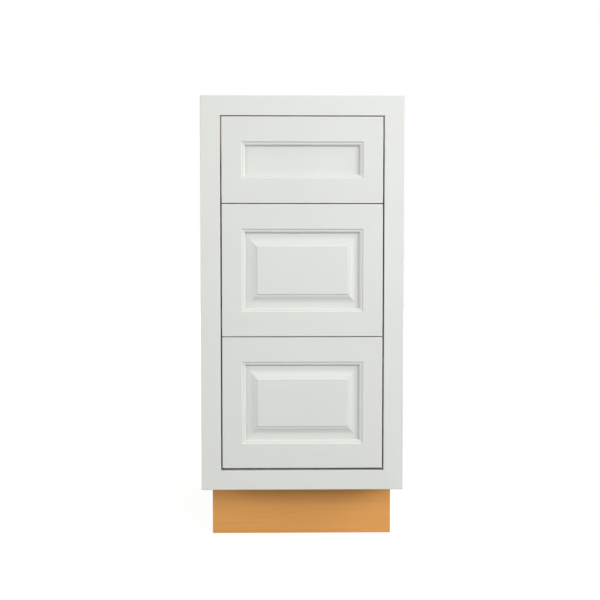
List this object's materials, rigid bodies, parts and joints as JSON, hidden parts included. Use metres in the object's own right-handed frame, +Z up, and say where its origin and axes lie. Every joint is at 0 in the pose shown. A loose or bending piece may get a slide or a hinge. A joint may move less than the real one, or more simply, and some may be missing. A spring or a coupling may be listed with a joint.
{
  "type": "drawer base cabinet",
  "caption": "Kitchen base cabinet with a painted inset face frame, drawers with framed fronts on concealed slides, and a recessed toe kick.",
  "frame": {"origin": "on the floor, under the middle of the cabinet's box", "axes": "+Z up, +X to the right seen from the front, the drawers open towards -Y"},
  "size_m": [0.392, 0.61, 0.876],
  "materials": {
    "painted_wood": "satin paint",
    "maple_plywood": "clear coat",
    "honey_maple": "clear coat",
    "cleat_wood": "bare",
    "drawer_maple": "clear coat",
    "zinc_steel": "zinc plated",
    "screw_steel": "zinc plated",
    "grey_plastic": "moulded",
    "lever_plastic": "moulded"
  },
  "bodies": {
    "cabinet": {"left_stile": "painted_wood", "right_stile": "painted_wood", "top_rail": "painted_wood", "bottom_rail": "painted_wood", "left_side_panel": "maple_plywood", "right_side_panel": "maple_plywood", "cabinet_floor": "maple_plywood", "back_panel": "maple_plywood", "toe_kick_board": "honey_maple", "hanging_rail": "cleat_wood", "corner_braces": "cleat_wood", "slide_cleats": "cleat_wood", "slide_cabinet_rails": "zinc_steel", "slide_screws": "screw_steel"},
    "top_drawer": {"top_drawer_front_left_stile": "painted_wood", "top_drawer_front_right_stile": "painted_wood", "top_drawer_front_top_rail": "painted_wood", "top_drawer_front_bottom_rail": "painted_wood", "top_drawer_front_panel": "painted_wood", "top_drawer_box_left_side": "drawer_maple", "top_drawer_box_right_side": "drawer_maple", "top_drawer_box_front": "drawer_maple", "top_drawer_box_back": "drawer_maple", "top_drawer_box_bottom": "drawer_maple", "top_drawer_front_screws": "screw_steel", "top_drawer_slide_drawer_rails": "zinc_steel", "top_drawer_locking_clips": "grey_plastic"},
    "top_drawer_middle_rails": {"top_drawer_slide_middle_rails": "zinc_steel"},
    "top_drawer_levers": {"top_drawer_release_levers": "lever_plastic"},
    "middle_drawer": {"middle_drawer_front_left_stile": "painted_wood", "middle_drawer_front_right_stile": "painted_wood", "middle_drawer_front_top_rail": "painted_wood", "middle_drawer_front_bottom_rail": "painted_wood", "middle_drawer_front_panel": "painted_wood", "middle_drawer_box_left_side": "drawer_maple", "middle_drawer_box_right_side": "drawer_maple", "middle_drawer_box_front": "drawer_maple", "middle_drawer_box_back": "drawer_maple", "middle_drawer_box_bottom": "drawer_maple", "middle_drawer_front_screws": "screw_steel", "middle_drawer_slide_drawer_rails": "zinc_steel", "middle_drawer_locking_clips": "grey_plastic"},
    "middle_drawer_middle_rails": {"middle_drawer_slide_middle_rails": "zinc_steel"},
    "middle_drawer_levers": {"middle_drawer_release_levers": "lever_plastic"},
    "bottom_drawer": {"bottom_drawer_front_left_stile": "painted_wood", "bottom_drawer_front_right_stile": "painted_wood", "bottom_drawer_front_top_rail": "painted_wood", "bottom_drawer_front_bottom_rail": "painted_wood", "bottom_drawer_front_panel": "painted_wood", "bottom_drawer_box_left_side": "drawer_maple", "bottom_drawer_box_right_side": "drawer_maple", "bottom_drawer_box_front": "drawer_maple", "bottom_drawer_box_back": "drawer_maple", "bottom_drawer_box_bottom": "drawer_maple", "bottom_drawer_front_screws": "screw_steel", "bottom_drawer_slide_drawer_rails": "zinc_steel", "bottom_drawer_locking_clips": "grey_plastic"},
    "bottom_drawer_middle_rails": {"bottom_drawer_slide_middle_rails": "zinc_steel"},
    "bottom_drawer_levers": {"bottom_drawer_release_levers": "lever_plastic"}
  },
  "joints": [
    {"name": "top_drawer_slide", "type": "slide", "parent": "cabinet", "child": "top_drawer", "axis": [0, -1, 0], "range_m": [0, 0.5]},
    {"name": "top_drawer_middle_rail_slide", "type": "slide", "parent": "cabinet", "child": "top_drawer_middle_rails", "axis": [0, -1, 0], "range_m": [0, 0.25]},
    {"name": "top_drawer_release", "type": "hinge", "parent": "top_drawer", "child": "top_drawer_levers", "pos_m": [0, -0.255, 0.6918], "axis": [-1, 0, 0], "range_deg": [0, 12], "stiffness_Nm_per_rad": 0.05},
    {"name": "middle_drawer_slide", "type": "slide", "parent": "cabinet", "child": "middle_drawer", "axis": [0, -1, 0], "range_m": [0, 0.5]},
    {"name": "middle_drawer_middle_rail_slide", "type": "slide", "parent": "cabinet", "child": "middle_drawer_middle_rails", "axis": [0, -1, 0], "range_m": [0, 0.25]},
    {"name": "middle_drawer_release", "type": "hinge", "parent": "middle_drawer", "child": "middle_drawer_levers", "pos_m": [0, -0.255, 0.4347], "axis": [-1, 0, 0], "range_deg": [0, 12], "stiffness_Nm_per_rad": 0.05},
    {"name": "bottom_drawer_slide", "type": "slide", "parent": "cabinet", "child": "bottom_drawer", "axis": [0, -1, 0], "range_m": [0, 0.5]},
    {"name": "bottom_drawer_middle_rail_slide", "type": "slide", "parent": "cabinet", "child": "bottom_drawer_middle_rails", "axis": [0, -1, 0], "range_m": [0, 0.25]},
    {"name": "bottom_drawer_release", "type": "hinge", "parent": "bottom_drawer", "child": "bottom_drawer_levers", "pos_m": [0, -0.255, 0.1776], "axis": [-1, 0, 0], "range_deg": [0, 12], "stiffness_Nm_per_rad": 0.05}
  ],
  "couplings": [
    {"joint": "top_drawer_middle_rail_slide", "follows": "top_drawer_slide", "ratio": 0.5},
    {"joint": "middle_drawer_middle_rail_slide", "follows": "middle_drawer_slide", "ratio": 0.5},
    {"joint": "bottom_drawer_middle_rail_slide", "follows": "bottom_drawer_slide", "ratio": 0.5}
  ]
}
